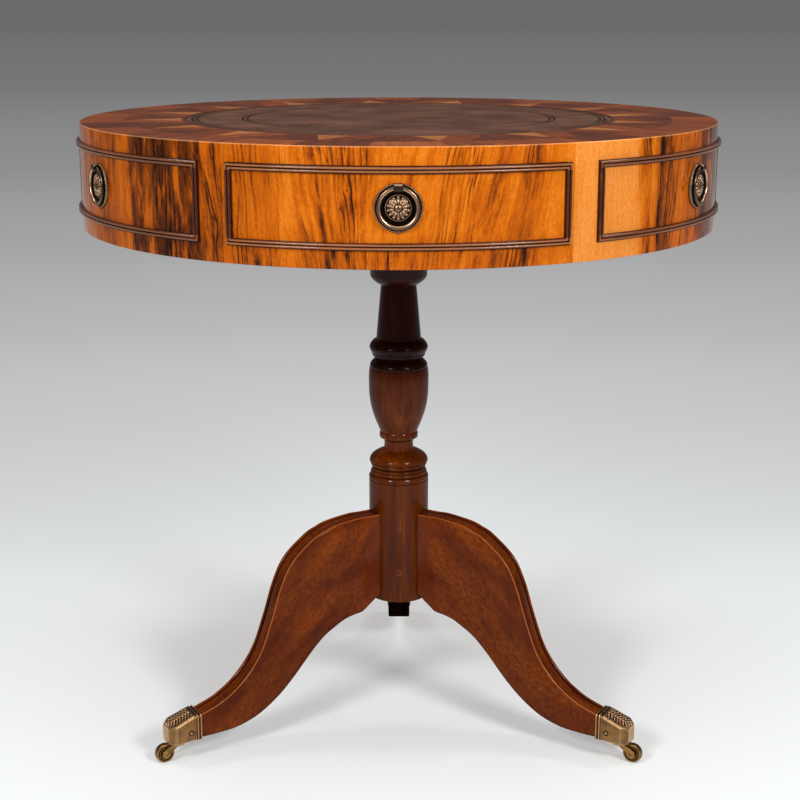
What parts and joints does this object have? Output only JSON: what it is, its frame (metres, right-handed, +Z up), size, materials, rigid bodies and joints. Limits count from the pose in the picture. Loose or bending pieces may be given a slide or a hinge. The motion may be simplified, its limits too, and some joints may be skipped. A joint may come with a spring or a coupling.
{
  "type": "drum table",
  "caption": "Round drum table with bowed drawers and dummy fronts, leather-topped, that turns on a column with downswept legs on brass casters.",
  "frame": {"origin": "on the floor under the column's axis", "axes": "+Z up, the front drawer faces -Y, +X to the right seen from the front"},
  "size_m": [0.7468, 0.7576, 0.7474],
  "materials": {
    "walnut_veneer": "French polished, figured veneer",
    "polished_mahogany": "French polished",
    "dark_mahogany": "dark stained and polished",
    "oak_lining": "planed, unpolished",
    "tooled_leather": "waxed, blind tooled lines",
    "antique_brass": "cast, worn and lacquered",
    "darkened_brass": "cast, darkened in the hollows"
  },
  "bodies": {
    "base": {"column": "polished_mahogany", "bearer": "polished_mahogany", "left_leg": "polished_mahogany", "left_cap": "antique_brass", "right_leg": "polished_mahogany", "right_cap": "antique_brass", "rear_leg": "polished_mahogany", "rear_cap": "antique_brass"},
    "drum": {"top_board": "walnut_veneer", "leather_inset": "tooled_leather", "bottom_board": "walnut_veneer", "right_dummy_panel": "walnut_veneer", "right_dummy_guide": "oak_lining", "right_dummy_moulding": "dark_mahogany", "right_dummy_backplate": "darkened_brass", "rear_dummy_panel": "walnut_veneer", "rear_dummy_guide": "oak_lining", "rear_dummy_moulding": "dark_mahogany", "rear_dummy_backplate": "darkened_brass", "left_dummy_panel": "walnut_veneer", "left_dummy_guide": "oak_lining", "left_dummy_moulding": "dark_mahogany", "left_dummy_backplate": "darkened_brass"},
    "front_drawer": {"front_drawer_panel": "walnut_veneer", "front_drawer_left_side": "oak_lining", "front_drawer_right_side": "oak_lining", "front_drawer_back": "oak_lining", "front_drawer_bottom": "oak_lining", "front_drawer_moulding": "dark_mahogany", "front_drawer_backplate": "darkened_brass"},
    "front_drawer_pull": {"front_drawer_ring": "darkened_brass"},
    "right_dummy_pull": {"right_dummy_ring": "darkened_brass"},
    "right_drawer": {"right_drawer_panel": "walnut_veneer", "right_drawer_left_side": "oak_lining", "right_drawer_right_side": "oak_lining", "right_drawer_back": "oak_lining", "right_drawer_bottom": "oak_lining", "right_drawer_moulding": "dark_mahogany", "right_drawer_backplate": "darkened_brass"},
    "right_drawer_pull": {"right_drawer_ring": "darkened_brass"},
    "rear_dummy_pull": {"rear_dummy_ring": "darkened_brass"},
    "left_drawer": {"left_drawer_panel": "walnut_veneer", "left_drawer_left_side": "oak_lining", "left_drawer_right_side": "oak_lining", "left_drawer_back": "oak_lining", "left_drawer_bottom": "oak_lining", "left_drawer_moulding": "dark_mahogany", "left_drawer_backplate": "darkened_brass"},
    "left_drawer_pull": {"left_drawer_ring": "darkened_brass"},
    "left_dummy_pull": {"left_dummy_ring": "darkened_brass"},
    "left_caster": {"left_horn": "antique_brass", "left_axle": "antique_brass"},
    "left_roller": {"left_wheel": "antique_brass"},
    "right_caster": {"right_horn": "antique_brass", "right_axle": "antique_brass"},
    "right_roller": {"right_wheel": "antique_brass"},
    "rear_caster": {"rear_horn": "antique_brass", "rear_axle": "antique_brass"},
    "rear_roller": {"rear_wheel": "antique_brass"}
  },
  "joints": [
    {"name": "drum_turn", "type": "hinge", "parent": "base", "child": "drum", "pos_m": [0, 0, 0.6277], "axis": [0, 0, 1], "continuous": true},
    {"name": "front_drawer_slide", "type": "slide", "parent": "drum", "child": "front_drawer", "axis": [0, -1, 0], "range_m": [0, 0.17]},
    {"name": "front_drawer_pull_lift", "type": "hinge", "parent": "front_drawer", "child": "front_drawer_pull", "pos_m": [0, -0.3744, 0.7084], "axis": [-1, 0, 0], "range_deg": [0, 100]},
    {"name": "right_dummy_pull_lift", "type": "hinge", "parent": "drum", "child": "right_dummy_pull", "pos_m": [0.32424, -0.1872, 0.7084], "axis": [-0.5, -0.866, 0], "range_deg": [0, 100]},
    {"name": "right_drawer_slide", "type": "slide", "parent": "drum", "child": "right_drawer", "axis": [0.866, 0.5, 0], "range_m": [0, 0.17]},
    {"name": "right_drawer_pull_lift", "type": "hinge", "parent": "right_drawer", "child": "right_drawer_pull", "pos_m": [0.32424, 0.1872, 0.7084], "axis": [0.5, -0.866, 0], "range_deg": [0, 100]},
    {"name": "rear_dummy_pull_lift", "type": "hinge", "parent": "drum", "child": "rear_dummy_pull", "pos_m": [0, 0.3744, 0.7084], "axis": [1, 0, 0], "range_deg": [0, 100]},
    {"name": "left_drawer_slide", "type": "slide", "parent": "drum", "child": "left_drawer", "axis": [-0.866, 0.5, 0], "range_m": [0, 0.17]},
    {"name": "left_drawer_pull_lift", "type": "hinge", "parent": "left_drawer", "child": "left_drawer_pull", "pos_m": [-0.32424, 0.1872, 0.7084], "axis": [0.5, 0.866, 0], "range_deg": [0, 100]},
    {"name": "left_dummy_pull_lift", "type": "hinge", "parent": "drum", "child": "left_dummy_pull", "pos_m": [-0.32424, -0.1872, 0.7084], "axis": [-0.5, 0.866, 0], "range_deg": [0, 100]},
    {"name": "left_caster_swivel", "type": "hinge", "parent": "base", "child": "left_caster", "pos_m": [-0.26249, -0.15155, 0.0245], "axis": [0, 0, 1], "continuous": true},
    {"name": "left_wheel_spin", "type": "hinge", "parent": "left_caster", "child": "left_roller", "pos_m": [-0.27895, -0.16105, 0.0115], "axis": [0.5, -0.866, 0], "continuous": true},
    {"name": "right_caster_swivel", "type": "hinge", "parent": "base", "child": "right_caster", "pos_m": [0.26249, -0.15155, 0.0245], "axis": [0, 0, 1], "continuous": true},
    {"name": "right_wheel_spin", "type": "hinge", "parent": "right_caster", "child": "right_roller", "pos_m": [0.27895, -0.16105, 0.0115], "axis": [0.5, 0.866, 0], "continuous": true},
    {"name": "rear_caster_swivel", "type": "hinge", "parent": "base", "child": "rear_caster", "pos_m": [0, 0.3031, 0.0245], "axis": [0, 0, 1], "continuous": true},
    {"name": "rear_wheel_spin", "type": "hinge", "parent": "rear_caster", "child": "rear_roller", "pos_m": [0, 0.3221, 0.0115], "axis": [-1, 0, 0], "continuous": true}
  ]
}
